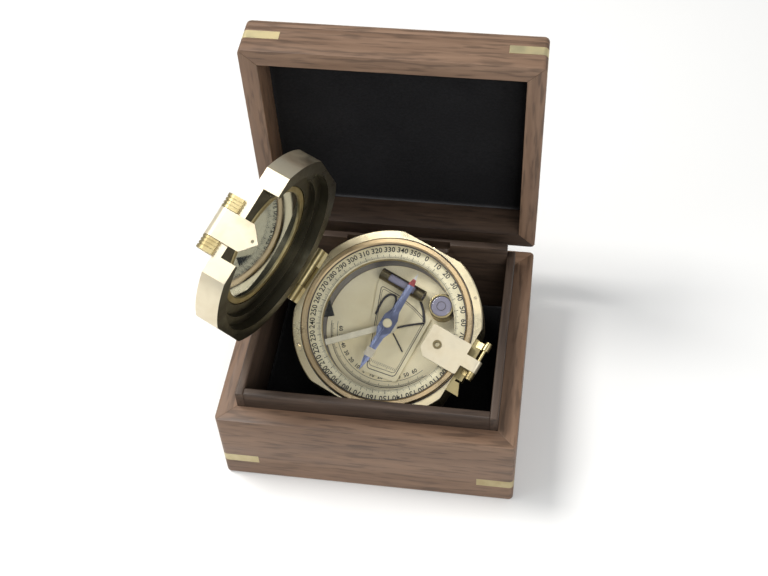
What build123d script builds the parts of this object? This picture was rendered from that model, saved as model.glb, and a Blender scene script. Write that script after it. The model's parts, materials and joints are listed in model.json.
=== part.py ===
from build123d import *
import os
from math import cos, radians, sin

os.makedirs("parts", exist_ok=True)

# ---------------------------------------------------------------------------
# A brass pocket transit (sighting compass with clinometer) leaning in its
# hinged hardwood case. Origin: centre of the case's underside. +Z up, +Y back.
# ---------------------------------------------------------------------------

# Case
case_width = 124.0
case_depth = 106.0
base_height = 39.5
lid_height = 20.5
base_board = 8.0
lid_board = 7.5
bottom_board = 5.0
top_board = 4.8
corner_round = 2.0
edge_round = 1.2
liner_board = 3.5
liner_rise = 8.6
liner_back_rise = 13.2
rest_width = 46.0
rest_x = 2.0
rest_gap = 0.4
rest_wall = 1.4
pad_thickness = 10.0
pad_gap = 0.3
lining_thickness = 1.2
lining_gap = 0.4

# Case hinges
lid_open = 88.6
hinge_back = 1.7
hinge_drop = 1.2
case_hinge_x = 36.0
leaf_length = 20.0
leaf_height = 9.0
leaf_thickness = 0.8
case_knuckle_r = 1.65
case_pin_r = 0.75
knuckle_gap = 0.15
screw_head_r = 1.3
screw_shank_r = 0.7
screw_length = 4.5
screw_spread = 6.5
screw_inset = 3.4

# Brass corner strips
strip_reach = 15.5
strip_width = 4.6
strip_thickness = 1.2
base_strip_z = 12.0
lid_strip_z = base_height + 10.3

# Where the compass leans in the case: centre of its bezel, and its lean
bezel_centre = (2.4, -0.95, 48.8)
lean_back = 25.3
lean_side = -2.8
heading = -25.5

# Compass body, heights measured from the bezel plane
body_r = 41.0
side_flat = 38.0
sight_flat = 37.0
underside = -18.5
flange_top = -1.0
body_foot_round = 2.5
bezel_r = 37.0
bezel_lip_r = 34.3
bezel_top = 0.6
bezel_foot = -2.6
crystal_r = 35.2
crystal_top = -0.5
crystal_thickness = 1.2
ring_r = 35.6
ring_inner_r = 28.9
ring_top = -3.6
ring_thickness = 1.5
ring_ledge = -6.0
well_r = 28.6
well_floor = -14.6
dial_thickness = 1.0
dial_top = well_floor + dial_thickness
lever_recess_r = 19.0
lever_recess_depth = 1.7
shaft_r = 2.2
fit_gap = 0.05
free_gap = 0.3

# Round level and long level
round_level = (15.7, 18.4)
round_level_r = 5.5
round_level_top = -6.4
long_level_y = 18.7
long_level_left = -15.4
long_level_right = 6.2
long_level_z = -9.7
long_level_r = 2.6

# Needle, its post and its lifter
needle_z = -5.0
needle_thickness = 0.6
needle_north = 25.2
needle_south = 23.4
cap_r = 2.6
post_r = 1.4
lifter_angle = 225.0
lifter_top = -8.3
lifter_thickness = 0.8
lifter_pivot = 31.5
lift_pin_at = 39.1
lift_pin_r = 0.75

# Azimuth pinion
pinion_at = 31.4
pinion_r = 2.2
pinion_z = ring_ledge - pinion_r - 0.1
pinion_teeth = 8

# Cover and its hinge
cover_open = 89.0
cover_hinge_x = 41.2
cover_hinge_z = 0.4
cover_knuckle_r = 1.9
cover_hinge_length = 25.6
cover_split = 5.2
cover_twist = -3.0
cover_shift = -1.6
cover_centre = 43.9
cover_r = 41.0
cover_hinge_flat = 40.4
cover_side_flat = 38.3
cover_far_flat = 33.8
cover_wall = 1.3
cover_steps = ((35.4, 4.0), (31.5, 6.2), (27.0, 8.3))
cover_front = 0.4
cover_depth = 10.3
cover_back = cover_front + cover_depth
notch_length = 30.5
notch_depth = 6.8
mirror_r = 24.0
mirror_thickness = 1.2

# Front sight leaf on the cover
barrel_r = 4.0
leaf_stand = 1.3
barrel_x = cover_centre + cover_far_flat + leaf_stand - barrel_r
barrel_z = cover_back + barrel_r + 0.3
front_leaf_y = -4.2
front_leaf_width = 12.0
front_leaf_thickness = 1.1
front_leaf_shoulder = 14.5
front_leaf_tip = 18.2
front_leaf_chamfer = 1.8
front_leaf_nose = 1.7
front_leaf_hole_r = 0.7

# Rear sight arm on the body
arm_offset = 1.9
arm_hinge_x = 43.2
arm_hinge_z = 0.2
arm_knuckle_r = 1.7
arm_width = 14.4
arm_thickness = 1.0
arm_free_end = 19.0
arm_shoulder = 37.6
arm_tongue = 5.4
arm_pin_r = 0.8
arm_hole_x = 24.7
arm_hole_r = 1.3

# Seats: each is the plane that one assembly is built on
bench = Plane(Location(bezel_centre, (lean_back, lean_side, heading)))
bench_up = Axis(bench.origin, bench.z_dir)
hinge_y = case_depth / 2 + hinge_back
hinge_z = base_height - hinge_drop
lid_seat = Plane(Location((0, hinge_y, hinge_z), (-lid_open, 0, 0)))
lid_up = Axis(lid_seat.origin, lid_seat.z_dir)
cover_seat = Plane(
    bench.location * Location((-cover_hinge_x, 0, cover_hinge_z), (0, -cover_open, 0))
)
shell_seat = Plane(cover_seat.location * Location((0, cover_shift, 0), (0, 0, cover_twist)))


def bench_at(x, y, z, turn=(0, 0, 0)):
    """A plane at a place on the compass, turned about its own axes."""
    return Plane(bench.location * Location((x, y, z), turn))


def cover_at(x, y, z, turn=(0, 0, 0)):
    """A plane at a place on the cover's hinge, turned about its own axes."""
    return Plane(cover_seat.location * Location((x, y, z), turn))


def shell_at(x, y, z, turn=(0, 0, 0)):
    """A plane at a place on the cover's shell, turned about its own axes."""
    return Plane(shell_seat.location * Location((x, y, z), turn))


def lid_at(x, y, z, turn=(0, 0, 0)):
    """A plane in the lid, given in the closed case's coordinates."""
    return Plane(lid_seat.location * Location((x, y - hinge_y, z - hinge_z), turn))


def base_at(x, y, z, turn=(0, 0, 0)):
    """A plane in the base, turned about its own axes."""
    return Plane(Location((x, y, z), turn))


def save(part, name):
    part.label = name
    export_step(part, f"parts/{name}.step")


def mitre_points(side, thickness):
    """The four corners of one side board with mitred ends."""
    a, b = case_width / 2 + 1, case_depth / 2 + 1
    c, d = case_width / 2 - thickness, case_depth / 2 - thickness
    corners = {
        "front": [(-a, -b), (a, -b), (c, -d), (-c, -d)],
        "back": [(-a, b), (a, b), (c, d), (-c, d)],
        "left": [(-a, -b), (-a, b), (-c, d), (-c, -d)],
        "right": [(a, -b), (a, b), (c, d), (c, -d)],
    }
    return corners[side]


def corner_strips(place, z):
    """Four L-shaped brass strips let in flush round the corners."""
    with BuildPart() as strips:
        with BuildSketch(place(0, 0, z - strip_width / 2)):
            RectangleRounded(case_width, case_depth, corner_round)
            Rectangle(
                case_width - 2 * strip_thickness,
                case_depth - 2 * strip_thickness,
                mode=Mode.SUBTRACT,
            )
            Rectangle(case_width - 2 * strip_reach, case_depth + 2, mode=Mode.SUBTRACT)
            Rectangle(case_width + 2, case_depth - 2 * strip_reach, mode=Mode.SUBTRACT)
        extrude(amount=strip_width)
    return strips.part


def hinge_leaf(place, top, bottom, knuckles):
    """A pair of brass hinge leaves on the case's back, with their knuckles."""
    back = case_depth / 2
    with BuildPart() as leaves:
        with BuildSketch(place(0, back, (top + bottom) / 2, (-90, 0, 0))):
            with Locations((-case_hinge_x, 0), (case_hinge_x, 0)):
                RectangleRounded(leaf_length, top - bottom, 0.5)
        extrude(amount=leaf_thickness)
        for x in (-case_hinge_x, case_hinge_x):
            for start, end in knuckles:
                middle = x + (start + end) / 2
                with BuildSketch(place(middle, hinge_y, hinge_z, (0, 90, 0))):
                    Circle(case_knuckle_r)
                extrude(amount=(end - start) / 2, both=True)
                with BuildSketch(place(middle, back, (hinge_z + bottom) / 2)):
                    with Locations((0, leaf_thickness / 2)):
                        Rectangle(end - start, leaf_thickness)
                extrude(amount=abs(hinge_z - bottom) / 2, both=True)
            with BuildSketch(place(x, hinge_y, hinge_z, (0, 90, 0))):
                Circle(case_pin_r + fit_gap)
            extrude(amount=leaf_length, both=True, mode=Mode.SUBTRACT)
    return leaves.part


def hinge_screws(place, z):
    """Four countersunk slotted screws that hold a pair of hinge leaves."""
    surface = case_depth / 2 + leaf_thickness
    with BuildPart() as screws:
        for x in (-case_hinge_x, case_hinge_x):
            for side in (-screw_spread, screw_spread):
                with BuildSketch(place(x + side, surface, z, (90, 0, 0))):
                    Circle(screw_head_r)
                extrude(amount=leaf_thickness, taper=35)
                with BuildSketch(place(x + side, surface, z, (90, 0, 0))):
                    Circle(screw_shank_r)
                extrude(amount=screw_length)
                with BuildSketch(place(x + side, surface, z, (90, 0, 0))):
                    Rectangle(2 * screw_head_r + 1, 0.35)
                extrude(amount=0.3, mode=Mode.SUBTRACT)
    return screws.part


def screw_holes(place, z):
    """The seats of the hinge screws, to cut from a leaf and its board."""
    surface = case_depth / 2 + leaf_thickness
    with BuildPart() as holes:
        for x in (-case_hinge_x, case_hinge_x):
            for side in (-screw_spread, screw_spread):
                with BuildSketch(place(x + side, surface, z, (90, 0, 0))):
                    Circle(screw_head_r)
                extrude(amount=leaf_thickness, taper=35)
                with BuildSketch(place(x + side, surface, z, (90, 0, 0))):
                    Circle(screw_shank_r)
                extrude(amount=screw_length)
    return holes.part


# ---------------------------------------------------------------------------
# Case base
# ---------------------------------------------------------------------------
leaf_top = hinge_z - 0.3
base_leaf_bottom = leaf_top - leaf_height
base_screw_z = base_leaf_bottom + screw_inset
base_strips = corner_strips(base_at, base_strip_z)
base_screw_seats = screw_holes(base_at, base_screw_z)

for side in ("front", "back", "left", "right"):
    with BuildPart() as board:
        with BuildSketch():
            RectangleRounded(case_width, case_depth, corner_round)
        extrude(amount=base_height)
        fillet(board.faces().sort_by(Axis.Z)[0].edges(), edge_round)
        with BuildSketch():
            Rectangle(case_width - 2 * base_board, case_depth - 2 * base_board)
        extrude(amount=base_height, mode=Mode.SUBTRACT)
        with BuildSketch():
            Polygon(*mitre_points(side, base_board), align=None)
        extrude(amount=base_height, mode=Mode.INTERSECT)
        add(base_strips, mode=Mode.SUBTRACT)
        add(base_screw_seats, mode=Mode.SUBTRACT)
    save(board.part, f"base_{side}_board")

save(base_strips, "base_corner_strips")

inner_width = case_width - 2 * base_board
inner_depth = case_depth - 2 * base_board
with BuildPart() as base_bottom_board:
    with BuildSketch():
        Rectangle(inner_width, inner_depth)
    extrude(amount=bottom_board)
save(base_bottom_board.part, "base_bottom_board")

liner_top = base_height + liner_rise
liner_height = liner_top - bottom_board
with BuildPart() as liner_side:
    with BuildSketch(Plane.XY.offset(bottom_board)):
        with Locations((inner_width / 2 - liner_board / 2, 0)):
            Rectangle(liner_board, inner_depth)
    extrude(amount=liner_height)
    fillet(liner_side.faces().sort_by(Axis.Z)[-1].edges().filter_by(Axis.Y), 0.8)
save(liner_side.part, "liner_right_board")
with BuildPart() as liner_left:
    add(liner_side.part.mirror(Plane.YZ))
save(liner_left.part, "liner_left_board")

with BuildPart() as liner_back:
    with BuildSketch(Plane.XY.offset(bottom_board)):
        with Locations((0, inner_depth / 2 - liner_board / 2)):
            Rectangle(inner_width - 2 * liner_board, liner_board)
    extrude(amount=base_height + liner_back_rise - bottom_board)
    with BuildSketch(Plane.XZ.offset(rest_wall - inner_depth / 2)):
        with Locations((rest_x, liner_top - rest_gap + liner_back_rise)):
            RectangleRounded(rest_width, 2 * liner_back_rise, 2.0)
    extrude(amount=liner_board - rest_wall, mode=Mode.SUBTRACT)
save(liner_back.part, "liner_back_board")
with BuildPart() as liner_front:
    with BuildSketch(Plane.XY.offset(bottom_board)):
        with Locations((0, liner_board / 2 - inner_depth / 2)):
            Rectangle(inner_width - 2 * liner_board, liner_board)
    extrude(amount=liner_height)
    fillet(liner_front.faces().sort_by(Axis.Z)[-1].edges().filter_by(Axis.X), 0.8)
save(liner_front.part, "liner_front_board")

pad_width = inner_width - 2 * liner_board - 2 * pad_gap
pad_depth = inner_depth - 2 * liner_board - 2 * pad_gap
with BuildPart() as floor_pad:
    with BuildSketch(Plane.XY.offset(bottom_board)):
        RectangleRounded(pad_width, pad_depth, 1.5)
    extrude(amount=pad_thickness)
save(floor_pad.part, "floor_pad")

base_knuckles = [
    (-leaf_length / 2, -leaf_length / 6 - knuckle_gap),
    (leaf_length / 6 + knuckle_gap, leaf_length / 2),
]
lid_knuckles = [(-leaf_length / 6, leaf_length / 6)]
with BuildPart() as base_hinge_leaves:
    add(hinge_leaf(base_at, leaf_top - 1.6, base_leaf_bottom, base_knuckles))
    add(base_screw_seats, mode=Mode.SUBTRACT)
save(base_hinge_leaves.part, "base_hinge_leaves")
save(hinge_screws(base_at, base_screw_z), "base_hinge_screws")

with BuildPart() as case_hinge_pins:
    for x in (-case_hinge_x, case_hinge_x):
        with BuildSketch(base_at(x, hinge_y, hinge_z, (0, 90, 0))):
            Circle(case_pin_r)
        extrude(amount=leaf_length / 2 + 0.3, both=True)
save(case_hinge_pins.part, "case_hinge_pins")

# ---------------------------------------------------------------------------
# Case lid, standing open
# ---------------------------------------------------------------------------
lid_top = base_height + lid_height
lid_leaf_top = hinge_z + 0.3 + leaf_height
lid_screw_z = lid_leaf_top - screw_inset
lid_strips = corner_strips(lid_at, lid_strip_z)
lid_screw_seats = screw_holes(lid_at, lid_screw_z)

for side in ("front", "back", "left", "right"):
    with BuildPart() as board:
        with BuildSketch(lid_at(0, 0, base_height)):
            RectangleRounded(case_width, case_depth, corner_round)
            Rectangle(case_width - 2 * lid_board, case_depth - 2 * lid_board, mode=Mode.SUBTRACT)
        extrude(amount=lid_height - top_board)
        with BuildSketch(lid_at(0, 0, base_height)):
            Polygon(*mitre_points(side, lid_board), align=None)
        extrude(amount=lid_height, mode=Mode.INTERSECT)
        add(lid_strips, mode=Mode.SUBTRACT)
        add(lid_screw_seats, mode=Mode.SUBTRACT)
    save(board.part, f"lid_{side}_board")

save(lid_strips, "lid_corner_strips")

with BuildPart() as lid_top_board:
    with BuildSketch(lid_at(0, 0, lid_top - top_board)):
        RectangleRounded(case_width, case_depth, corner_round)
    extrude(amount=top_board)
    fillet(lid_top_board.faces().sort_by(lid_up)[-1].edges(), 2.6)
save(lid_top_board.part, "lid_top_board")

lining_width = case_width - 2 * lid_board - 2 * lining_gap
lining_depth = case_depth - 2 * lid_board - 2 * lining_gap
with BuildPart() as lid_lining:
    with BuildSketch(lid_at(0, 0, lid_top - top_board - lining_thickness)):
        RectangleRounded(lining_width, lining_depth, 1.0)
    extrude(amount=lining_thickness)
save(lid_lining.part, "lid_lining")

with BuildPart() as lid_hinge_leaves:
    add(hinge_leaf(lid_at, lid_leaf_top, hinge_z + 1.9, lid_knuckles))
    add(lid_screw_seats, mode=Mode.SUBTRACT)
save(lid_hinge_leaves.part, "lid_hinge_leaves")
save(hinge_screws(lid_at, lid_screw_z), "lid_hinge_screws")

# ---------------------------------------------------------------------------
# Compass body and the pieces fixed to it
# ---------------------------------------------------------------------------
lifter_dir = (cos(radians(lifter_angle)), sin(radians(lifter_angle)))
lift_pin_xy = (lift_pin_at * lifter_dir[0], lift_pin_at * lifter_dir[1])
rim_screw_angles = (45, 135, 315)
rim_screw_at = 39.2
rim_screw_r = 0.8
rim_screw_xy = [(rim_screw_at * cos(radians(a)), rim_screw_at * sin(radians(a))) for a in rim_screw_angles]

with BuildPart() as compass_body:
    with BuildSketch(bench_at(0, 0, 0, (90, 0, 0))):
        with BuildLine():
            Polyline(
                (body_r - body_foot_round, underside),
                (0, underside),
                (0, flange_top),
                (body_r - 0.4, flange_top),
                (body_r, flange_top - 0.4),
                (body_r, underside + body_foot_round),
            )
            RadiusArc(
                (body_r, underside + body_foot_round),
                (body_r - body_foot_round, underside),
                body_foot_round,
            )
        make_face()
    revolve(axis=bench_up)
    with BuildSketch(bench_at(0, 0, underside)):
        with Locations(((sight_flat - side_flat) / 2, 0)):
            Rectangle(side_flat + sight_flat, 2 * side_flat)
    extrude(amount=flange_top - underside, mode=Mode.INTERSECT)
    with BuildSketch(bench_at(0, 0, bezel_foot)):
        Circle(bezel_r + fit_gap)
    extrude(amount=flange_top - bezel_foot, mode=Mode.SUBTRACT)
    with BuildSketch(bench_at(0, 0, ring_ledge)):
        Circle(ring_r + free_gap)
    extrude(amount=bezel_foot - ring_ledge, mode=Mode.SUBTRACT)
    with BuildSketch(bench_at(0, 0, well_floor)):
        Circle(well_r)
    extrude(amount=ring_ledge - well_floor, mode=Mode.SUBTRACT)
    with BuildSketch(bench_at(*round_level, dial_top)):
        Circle(round_level_r + 0.2)
    extrude(amount=ring_ledge - dial_top, mode=Mode.SUBTRACT)
    with BuildSketch(bench_at(0, 0, underside)):
        Circle(lever_recess_r)
    extrude(amount=lever_recess_depth, mode=Mode.SUBTRACT)
    with BuildSketch(bench_at(0, 0, underside)):
        Circle(shaft_r + fit_gap)
    extrude(amount=well_floor - underside, mode=Mode.SUBTRACT)
    with BuildSketch(bench_at(0, 0, lifter_top - 2.4, (0, 0, lifter_angle))):
        with Locations((34, 0)):
            Rectangle(12.4, 3.6)
    extrude(amount=4.0, mode=Mode.SUBTRACT)
    with BuildSketch(bench_at(*lift_pin_xy, lifter_top)):
        Circle(lift_pin_r + fit_gap)
    extrude(amount=flange_top - lifter_top, mode=Mode.SUBTRACT)
    with BuildSketch(bench_at(0, 0, lifter_top - 0.4, (0, 0, lifter_angle))):
        with Locations((lifter_pivot, 0)):
            Rectangle(1.2, 7.0)
    extrude(amount=1.2 / 2, both=True, mode=Mode.SUBTRACT)
    with BuildSketch(bench_at(0, pinion_at, ring_ledge)):
        Rectangle(2 * pinion_r + 0.8, 3.4)
    extrude(amount=-2 * pinion_r - 0.6, mode=Mode.SUBTRACT)
    with BuildSketch(bench_at(0, pinion_at, pinion_z, (-90, 0, 0))):
        Circle(1.0 + fit_gap)
    extrude(amount=10, mode=Mode.SUBTRACT)
    for x, y in rim_screw_xy:
        with BuildSketch(bench_at(x, y, flange_top)):
            Circle(rim_screw_r)
        extrude(amount=-3.0, mode=Mode.SUBTRACT)
save(compass_body.part, "compass_body")

with BuildPart() as bezel_ring:
    with BuildSketch(bench_at(0, 0, 0, (90, 0, 0))):
        with BuildLine():
            Polyline(
                (bezel_lip_r, bezel_top - 0.5),
                (bezel_lip_r + 0.6, bezel_top),
                (bezel_r - 0.5, bezel_top),
                (bezel_r, bezel_top - 0.5),
                (bezel_r, bezel_foot),
                (crystal_r, bezel_foot),
                (crystal_r, crystal_top),
                (bezel_lip_r, crystal_top),
                close=True,
            )
        make_face()
    revolve(axis=bench_up)
save(bezel_ring.part, "bezel_ring")

with BuildPart() as crystal:
    with BuildSketch(bench_at(0, 0, crystal_top)):
        Circle(crystal_r)
    extrude(amount=-crystal_thickness)
save(crystal.part, "crystal")

with BuildPart() as crystal_retainer:
    with BuildSketch(bench_at(0, 0, crystal_top - crystal_thickness)):
        Circle(crystal_r)
        Circle(crystal_r - 0.9, mode=Mode.SUBTRACT)
        with Locations((0, -crystal_r)):
            Rectangle(1.2, 3, mode=Mode.SUBTRACT)
    extrude(amount=-0.8)
save(crystal_retainer.part, "crystal_retainer")

with BuildPart() as dial_plate:
    with BuildSketch(bench_at(0, 0, well_floor)):
        Circle(well_r - 0.2)
        Circle(shaft_r + free_gap, mode=Mode.SUBTRACT)
    extrude(amount=dial_thickness)
save(dial_plate.part, "dial_plate")

with BuildPart() as round_level_housing:
    with BuildSketch(bench_at(*round_level, dial_top)):
        Circle(round_level_r)
    extrude(amount=round_level_top - dial_top)
    fillet(round_level_housing.edges().group_by(bench_up)[-1], 0.4)
    with BuildSketch(bench_at(*round_level, round_level_top - 2.4)):
        Circle(round_level_r - 0.9)
    extrude(amount=2.4, mode=Mode.SUBTRACT)
save(round_level_housing.part, "round_level_housing")

with BuildPart() as round_level_vial:
    with BuildSketch(bench_at(*round_level, round_level_top - 2.4)):
        Circle(round_level_r - 0.9)
    extrude(amount=2.2)
    fillet(round_level_vial.edges().group_by(bench_up)[-1], 0.8)
save(round_level_vial.part, "round_level_vial")

with BuildPart() as rim_screws:
    for x, y in rim_screw_xy:
        with BuildSketch(bench_at(x, y, flange_top)):
            Circle(rim_screw_r)
        extrude(amount=-3.0)
        with BuildSketch(bench_at(x, y, flange_top)):
            Rectangle(3, 0.3)
        extrude(amount=-0.3, mode=Mode.SUBTRACT)
save(rim_screws.part, "rim_screws")

lifter_pin_seat = Plane(
    bench_at(0, 0, 0, (0, 0, lifter_angle)).location
    * Location((lifter_pivot, 0, lifter_top - lifter_thickness / 2), (90, 0, 0))
)
with BuildPart() as lifter_pivot_pin:
    with BuildSketch(lifter_pin_seat):
        Circle(0.6)
    extrude(amount=3.4, both=True)
save(lifter_pivot_pin.part, "lifter_pivot_pin")

# ---------------------------------------------------------------------------
# Graduated azimuth ring and the pinion that turns it
# ---------------------------------------------------------------------------
with BuildPart() as azimuth_ring:
    with BuildSketch(bench_at(0, 0, 0, (90, 0, 0))):
        with BuildLine():
            Polyline(
                (ring_inner_r, ring_top - 0.4),
                (ring_inner_r + 0.4, ring_top),
                (ring_r, ring_top),
                (ring_r, ring_ledge + 0.1),
                (ring_r - 1.2, ring_ledge + 0.1),
                (ring_r - 1.2, ring_top - ring_thickness),
                (ring_inner_r, ring_top - ring_thickness),
                close=True,
            )
        make_face()
    revolve(axis=bench_up)
save(azimuth_ring.part, "azimuth_ring")

with BuildPart() as azimuth_pinion:
    with BuildSketch(bench_at(0, pinion_at, pinion_z, (-90, 0, 0))):
        Circle(pinion_r)
        with PolarLocations(pinion_r, pinion_teeth):
            Circle(0.45, mode=Mode.SUBTRACT)
    extrude(amount=1.3, both=True)
    with BuildSketch(bench_at(0, pinion_at, pinion_z, (-90, 0, 0))):
        Circle(1.0)
    extrude(amount=side_flat - pinion_at + 0.1)
    with BuildSketch(bench_at(0, side_flat + 0.1, pinion_z, (-90, 0, 0))):
        Circle(2.0)
    extrude(amount=1.2)
    with BuildSketch(bench_at(0, side_flat + 1.3, pinion_z, (-90, 0, 0))):
        Rectangle(5, 0.5)
    extrude(amount=-0.6, mode=Mode.SUBTRACT)
save(azimuth_pinion.part, "azimuth_pinion")

# ---------------------------------------------------------------------------
# Clinometer: plate, shaft, long level, and the lever under the body
# ---------------------------------------------------------------------------
plate_bottom = dial_top + 0.2
plate_thickness = 0.8
plate_top = plate_bottom + plate_thickness
with BuildPart() as clinometer_plate:
    with BuildSketch(bench_at(0, 0, plate_bottom)):
        with BuildLine():
            FilletPolyline(
                (-15.6, 21.2),
                (6.4, 21.2),
                (6.4, 14.8),
                (13.6, 12.2),
                (14.8, -19.4),
                (-0.6, -22.4),
                (-15.6, 14.6),
                close=True,
                radius=1.4,
            )
        make_face()
        Circle(shaft_r, mode=Mode.SUBTRACT)
    extrude(amount=plate_thickness)
save(clinometer_plate.part, "clinometer_plate")

post_top = needle_z + 0.4
lever_top = underside + lever_recess_depth - 0.2
lever_thickness = 1.2
with BuildPart() as clinometer_shaft:
    with BuildSketch(bench_at(0, 0, lever_top)):
        Circle(shaft_r)
    extrude(amount=plate_top - lever_top)
    with BuildSketch(bench_at(0, 0, plate_top)):
        Circle(post_r)
    extrude(amount=post_top - 3.2 - plate_top)
    with BuildSketch(bench_at(0, 0, post_top - 3.2)):
        Circle(post_r)
    extrude(amount=3.2, taper=20)
save(clinometer_shaft.part, "clinometer_shaft")

level_middle = (long_level_left + long_level_right) / 2
level_half = (long_level_right - long_level_left) / 2
with BuildPart() as long_level_holder:
    with BuildSketch(bench_at(level_middle, long_level_y, long_level_z, (0, 90, 0))):
        Circle(long_level_r)
        Circle(long_level_r - 0.6, mode=Mode.SUBTRACT)
    extrude(amount=level_half, both=True)
    with BuildSketch(bench_at(level_middle, long_level_y, long_level_z)):
        Rectangle(1.2 * level_half, 3.4)
    extrude(amount=4, mode=Mode.SUBTRACT)
    with BuildSketch(bench_at(level_middle, long_level_y, plate_top)):
        with Locations((-level_half + 2.2, 0), (level_half - 2.2, 0)):
            Rectangle(4.2, 3.6)
    extrude(amount=long_level_z - long_level_r + 0.5 - plate_top)
save(long_level_holder.part, "long_level_holder")

with BuildPart() as long_level_vial:
    with BuildSketch(bench_at(level_middle, long_level_y, long_level_z, (0, 90, 0))):
        Circle(long_level_r - 0.6)
    extrude(amount=level_half - 0.6, both=True)
save(long_level_vial.part, "long_level_vial")

with BuildPart() as clinometer_lever:
    with BuildSketch(bench_at(0, 0, lever_top)):
        Circle(4.0)
        with Locations((8.0, 0)):
            Rectangle(16.0, 4.4)
        with Locations((15.8, 0)):
            Circle(2.6)
    extrude(amount=-lever_thickness)
save(clinometer_lever.part, "clinometer_lever")

# ---------------------------------------------------------------------------
# Needle
# ---------------------------------------------------------------------------
with BuildPart() as needle_blade:
    with BuildSketch(bench_at(0, 0, needle_z)):
        Polygon(
            (0, needle_north),
            (-1.5, 20.0),
            (-1.9, 6.5),
            (-3.4, 3.0),
            (-3.4, -3.0),
            (-1.9, -6.5),
            (-1.5, -18.0),
            (0, -needle_south),
            (1.5, -18.0),
            (1.9, -6.5),
            (3.4, -3.0),
            (3.4, 3.0),
            (1.9, 6.5),
            (1.5, 20.0),
            align=None,
        )
        Circle(cap_r - 0.6, mode=Mode.SUBTRACT)
    extrude(amount=needle_thickness)
save(needle_blade.part, "needle_blade")

cap_foot = needle_z - 0.6
cap_top = needle_z + 1.8
with BuildPart() as needle_cap:
    with BuildSketch(bench_at(0, 0, cap_foot)):
        Circle(cap_r - 0.6)
    extrude(amount=cap_top - cap_foot)
    fillet(needle_cap.edges().group_by(bench_up)[-1], 0.5)
    with BuildSketch(bench_at(0, 0, cap_foot)):
        Circle(1.4)
    extrude(amount=1.6, mode=Mode.SUBTRACT)
save(needle_cap.part, "needle_cap")

with BuildPart() as needle_jewel:
    with BuildSketch(bench_at(0, 0, cap_foot + 1.6)):
        Circle(1.4)
    extrude(amount=-0.4)
save(needle_jewel.part, "needle_jewel")

with BuildPart() as needle_balance_wire:
    with BuildSketch(bench_at(0, -14.6, needle_z + needle_thickness / 2)):
        Rectangle(4.2, 4.0)
    extrude(amount=needle_thickness / 2 + 0.3, both=True)
    with BuildSketch(bench_at(0, -14.6, needle_z)):
        Rectangle(3.2 + 0.2, 5.0)
    extrude(amount=needle_thickness, mode=Mode.SUBTRACT)
save(needle_balance_wire.part, "needle_balance_wire")

# ---------------------------------------------------------------------------
# Needle lifter and the pin that works it
# ---------------------------------------------------------------------------
with BuildPart() as needle_lifter:
    with BuildSketch(bench_at(0, 0, lifter_top, (0, 0, lifter_angle))):
        Circle(3.6)
        with Locations((lift_pin_at / 2 + 0.3, 0)):
            Rectangle(lift_pin_at + 0.6, 2.6)
        Circle(2.2, mode=Mode.SUBTRACT)
    extrude(amount=-lifter_thickness)
    with BuildSketch(lifter_pin_seat):
        Circle(1.2)
    extrude(amount=1.3, both=True)
    with BuildSketch(lifter_pin_seat):
        Circle(0.6 + fit_gap)
    extrude(amount=3, both=True, mode=Mode.SUBTRACT)
save(needle_lifter.part, "needle_lifter")

with BuildPart() as lift_pin:
    with BuildSketch(bench_at(*lift_pin_xy, lifter_top + 0.05)):
        Circle(lift_pin_r)
    extrude(amount=0.5 - lifter_top)
    fillet(lift_pin.edges().group_by(bench_up)[-1], 0.3)
save(lift_pin.part, "lift_pin")

# ---------------------------------------------------------------------------
# Rear sight arm, its hinge leaf and pin
# ---------------------------------------------------------------------------
arm_tongue_half = arm_tongue / 2
leaf_plate = (-12.3, 12.7)
leaf_block = (-6.2, 12.4)
block_out = 41.1
arm_cheeks = ((-3.3, arm_offset - arm_tongue_half - knuckle_gap), (9.6, 12.4))
with BuildPart() as sight_hinge_leaf:
    with BuildSketch(bench_at(sight_flat, sum(leaf_plate) / 2, -4.8, (0, 90, 0))):
        Rectangle(6.8, leaf_plate[1] - leaf_plate[0])
    extrude(amount=1.5)
    with BuildSketch(bench_at(sight_flat, sum(leaf_block) / 2, -3.6, (0, 90, 0))):
        Rectangle(4.4, leaf_block[1] - leaf_block[0])
    extrude(amount=block_out - sight_flat)
    for start, end in arm_cheeks:
        with BuildSketch(bench_at(arm_hinge_x, (start + end) / 2, arm_hinge_z, (90, 0, 0))):
            Circle(arm_knuckle_r)
            with BuildLine():
                Polyline(
                    (sight_flat + 1.0 - arm_hinge_x, -5.6),
                    (sight_flat + 1.0 - arm_hinge_x, -1.7),
                    (-1.2, -1.0),
                    (1.2, -1.0),
                    (-1.6, -5.0),
                    close=True,
                )
            make_face()
        extrude(amount=(end - start) / 2, both=True)
    with BuildSketch(bench_at(0, 0, -2.4)):
        Polygon((38.0, -7.2), (40.6, -7.2), (43.0, -12.3), (38.0, -12.3), align=None)
    extrude(amount=1.0)
    with BuildSketch(bench_at(arm_hinge_x, arm_offset, arm_hinge_z, (90, 0, 0))):
        Circle(arm_pin_r + fit_gap)
    extrude(amount=15, both=True, mode=Mode.SUBTRACT)
save(sight_hinge_leaf.part, "sight_hinge_leaf")

pin_start = arm_cheeks[0][0]
pin_end = arm_cheeks[1][1]
with BuildPart() as sight_hinge_pin:
    with BuildSketch(bench_at(arm_hinge_x, (pin_start + pin_end) / 2, arm_hinge_z, (90, 0, 0))):
        Circle(arm_pin_r)
    extrude(amount=(pin_end - pin_start) / 2, both=True)
    for head in (pin_start - 0.5, pin_end + 0.5):
        with BuildSketch(bench_at(arm_hinge_x, head, arm_hinge_z, (90, 0, 0))):
            Circle(1.4)
        extrude(amount=0.5, both=True)
save(sight_hinge_pin.part, "sight_hinge_pin")

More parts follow.
